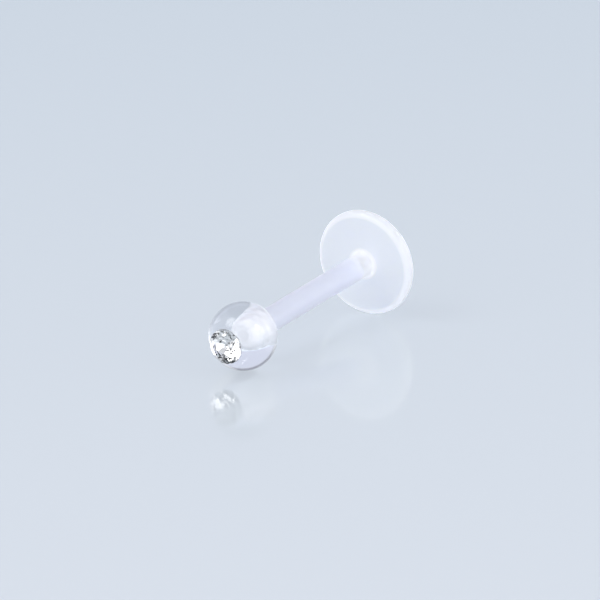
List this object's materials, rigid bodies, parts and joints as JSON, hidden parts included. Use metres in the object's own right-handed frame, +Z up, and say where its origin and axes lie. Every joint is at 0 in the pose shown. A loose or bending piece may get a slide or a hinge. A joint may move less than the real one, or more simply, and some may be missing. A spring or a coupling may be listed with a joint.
{
  "type": "labret stud",
  "caption": "Lip or ear stud lying on its side: a clear ball with a set round stone screws onto a milky moulded bar that ends in a flat round disc.",
  "frame": {"origin": "middle of the stud's footprint, on the surface that it lies on", "axes": "+Z up; the stud's axis lies over the Y axis, with the stone towards -Y and the disc towards +Y"},
  "size_m": [0.0048, 0.0118, 0.0048],
  "materials": {
    "post_plastic": "smooth moulded plastic, milky and translucent",
    "clear_acrylic": "polished clear acrylic",
    "crystal": "polished cut glass with a mirror foil behind its pavilion"
  },
  "bodies": {
    "ball": {"ball": "clear_acrylic", "stone": "crystal"},
    "post": {"post": "post_plastic"}
  },
  "joints": [
    {"name": "post_pull", "type": "slide", "parent": "ball", "child": "post", "axis": [0, 0.9957, 0.0921], "range_m": [0, 0.012]}
  ]
}
